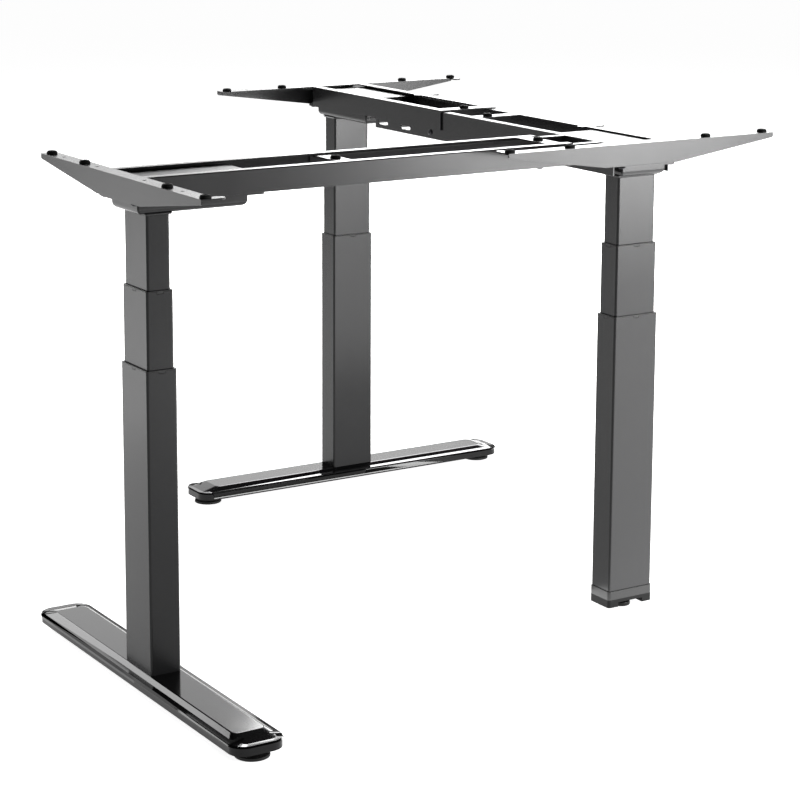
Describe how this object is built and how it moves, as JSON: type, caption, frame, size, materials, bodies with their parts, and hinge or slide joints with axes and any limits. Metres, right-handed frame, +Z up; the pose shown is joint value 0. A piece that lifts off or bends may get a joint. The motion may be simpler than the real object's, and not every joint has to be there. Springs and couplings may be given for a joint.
{
  "type": "height adjustable desk frame",
  "caption": "L-shaped sit-stand desk frame: telescopic electric legs, nested steel beams, tapered side arms with rubber pads, and no desktop.",
  "frame": {"origin": "on the floor, under the middle of the frame's outline", "axes": "+Z up; the X beam runs along X from leg A (-X) to the corner leg C, and the Y beam along +Y from leg C to leg B"},
  "size_m": [1.251, 1.251, 0.802],
  "materials": {
    "black_steel": "black powder coat, fine texture, satin",
    "gloss_foot": "black powder coat, smooth and glossy",
    "black_plastic": "moulded, matt black",
    "black_rubber": "matt black rubber",
    "screw_steel": "ground steel, lightly oiled",
    "zinc_steel": "bright zinc plate",
    "black_bolt": "black oxide",
    "motor_metal": "die-cast, bead blasted"
  },
  "bodies": {
    "leg_a_base": {"outer_tube_a": "black_steel", "outer_glide_a": "black_plastic", "base_nut_post_a": "zinc_steel", "foot_a": "gloss_foot"},
    "leg_a_mid": {"mid_tube_a": "black_steel", "mid_glide_a": "black_plastic", "mid_nut_post_a": "zinc_steel"},
    "a_end": {"inner_tube_a": "black_steel", "motor_tray_a": "black_steel", "motor_cover_a": "black_steel", "gear_motor_a": "motor_metal", "side_arm_a": "black_steel", "pads_a": "black_rubber", "bolts_a": "black_bolt", "x_beam_outer": "black_steel"},
    "screw_a_lower": {"lower_screw_a": "screw_steel"},
    "screw_a_upper": {"upper_screw_a": "screw_steel"},
    "leg_b_base": {"outer_tube_b": "black_steel", "outer_glide_b": "black_plastic", "base_nut_post_b": "zinc_steel", "foot_b": "gloss_foot"},
    "leg_b_mid": {"mid_tube_b": "black_steel", "mid_glide_b": "black_plastic", "mid_nut_post_b": "zinc_steel"},
    "b_end": {"inner_tube_b": "black_steel", "motor_tray_b": "black_steel", "motor_cover_b": "black_steel", "gear_motor_b": "motor_metal", "side_arm_b": "black_steel", "pads_b": "black_rubber", "bolts_b": "black_bolt", "y_beam_outer": "black_steel"},
    "screw_b_lower": {"lower_screw_b": "screw_steel"},
    "screw_b_upper": {"upper_screw_b": "screw_steel"},
    "leg_c_base": {"outer_tube_c": "black_steel", "outer_glide_c": "black_plastic", "base_nut_post_c": "zinc_steel", "base_cap_c": "black_plastic"},
    "leg_c_mid": {"mid_tube_c": "black_steel", "mid_glide_c": "black_plastic", "mid_nut_post_c": "zinc_steel"},
    "corner": {"inner_tube_c": "black_steel", "motor_tray_c": "black_steel", "motor_cover_c": "black_steel", "gear_motor_c": "motor_metal", "side_arm_c": "black_steel", "pads_c": "black_rubber", "bolts_c": "black_bolt", "x_beam_inner": "black_steel", "y_beam_inner": "black_steel"},
    "screw_c_lower": {"lower_screw_c": "screw_steel"},
    "screw_c_upper": {"upper_screw_c": "screw_steel"},
    "foot_screw_a1": {"leveller_a1": "black_plastic"},
    "foot_screw_a2": {"leveller_a2": "black_plastic"},
    "foot_screw_b1": {"leveller_b1": "black_plastic"},
    "foot_screw_b2": {"leveller_b2": "black_plastic"},
    "foot_screw_c": {"leveller_c": "black_plastic"}
  },
  "joints": [
    {"name": "lift", "type": "slide", "parent": "leg_a_base", "child": "leg_a_mid", "axis": [0, 0, 1], "range_m": [-0.098, 0.227]},
    {"name": "lift_a_inner", "type": "slide", "parent": "leg_a_mid", "child": "a_end", "axis": [0, 0, 1], "range_m": [-0.098, 0.227]},
    {"name": "width_x", "type": "slide", "parent": "a_end", "child": "corner", "axis": [1, 0, 0], "range_m": [-0.045, 0.3]},
    {"name": "width_y", "type": "slide", "parent": "corner", "child": "b_end", "axis": [0, 1, 0], "range_m": [-0.03, 0.11]},
    {"name": "lift_b_mid", "type": "slide", "parent": "b_end", "child": "leg_b_mid", "axis": [0, 0, -1], "range_m": [-0.098, 0.227]},
    {"name": "lift_b_base", "type": "slide", "parent": "leg_b_mid", "child": "leg_b_base", "axis": [0, 0, -1], "range_m": [-0.098, 0.227]},
    {"name": "lift_c_mid", "type": "slide", "parent": "corner", "child": "leg_c_mid", "axis": [0, 0, -1], "range_m": [-0.098, 0.227]},
    {"name": "lift_c_base", "type": "slide", "parent": "leg_c_mid", "child": "leg_c_base", "axis": [0, 0, -1], "range_m": [-0.098, 0.227]},
    {"name": "upper_screw_a_turn", "type": "hinge", "parent": "a_end", "child": "screw_a_upper", "pos_m": [-0.571, -0.279, 0.6], "axis": [0, 0, 1], "range_deg": [-4430, 10250]},
    {"name": "lower_screw_a_turn", "type": "hinge", "parent": "leg_a_mid", "child": "screw_a_lower", "pos_m": [-0.571, -0.279, 0.6], "axis": [0, 0, 1], "range_deg": [-4430, 10250]},
    {"name": "upper_screw_b_turn", "type": "hinge", "parent": "b_end", "child": "screw_b_upper", "pos_m": [0.279, 0.571, 0.6], "axis": [0, 0, 1], "range_deg": [-4430, 10250]},
    {"name": "lower_screw_b_turn", "type": "hinge", "parent": "leg_b_mid", "child": "screw_b_lower", "pos_m": [0.279, 0.571, 0.6], "axis": [0, 0, 1], "range_deg": [-4430, 10250]},
    {"name": "upper_screw_c_turn", "type": "hinge", "parent": "corner", "child": "screw_c_upper", "pos_m": [0.279, -0.339, 0.6], "axis": [0, 0, 1], "range_deg": [-4430, 10250]},
    {"name": "lower_screw_c_turn", "type": "hinge", "parent": "leg_c_mid", "child": "screw_c_lower", "pos_m": [0.279, -0.339, 0.6], "axis": [0, 0, 1], "range_deg": [-4430, 10250]},
    {"name": "level_a1", "type": "slide", "parent": "leg_a_base", "child": "foot_screw_a1", "axis": [0, 0, -1], "range_m": [0, 0.012]},
    {"name": "level_a2", "type": "slide", "parent": "leg_a_base", "child": "foot_screw_a2", "axis": [0, 0, -1], "range_m": [0, 0.012]},
    {"name": "level_b1", "type": "slide", "parent": "leg_b_base", "child": "foot_screw_b1", "axis": [0, 0, -1], "range_m": [0, 0.012]},
    {"name": "level_b2", "type": "slide", "parent": "leg_b_base", "child": "foot_screw_b2", "axis": [0, 0, -1], "range_m": [0, 0.012]},
    {"name": "level_c", "type": "slide", "parent": "leg_c_base", "child": "foot_screw_c", "axis": [0, 0, -1], "range_m": [0, 0.012]}
  ],
  "couplings": [
    {"joint": "lift_a_inner", "follows": "lift", "ratio": 1},
    {"joint": "lift_b_mid", "follows": "lift", "ratio": 1},
    {"joint": "lift_b_base", "follows": "lift", "ratio": 1},
    {"joint": "lift_c_mid", "follows": "lift", "ratio": 1},
    {"joint": "lift_c_base", "follows": "lift", "ratio": 1},
    {"joint": "upper_screw_a_turn", "follows": "lift", "rad_per_m": 785.4},
    {"joint": "lower_screw_a_turn", "follows": "lift", "rad_per_m": 785.4},
    {"joint": "upper_screw_b_turn", "follows": "lift", "rad_per_m": 785.4},
    {"joint": "lower_screw_b_turn", "follows": "lift", "rad_per_m": 785.4},
    {"joint": "upper_screw_c_turn", "follows": "lift", "rad_per_m": 785.4},
    {"joint": "lower_screw_c_turn", "follows": "lift", "rad_per_m": 785.4}
  ]
}
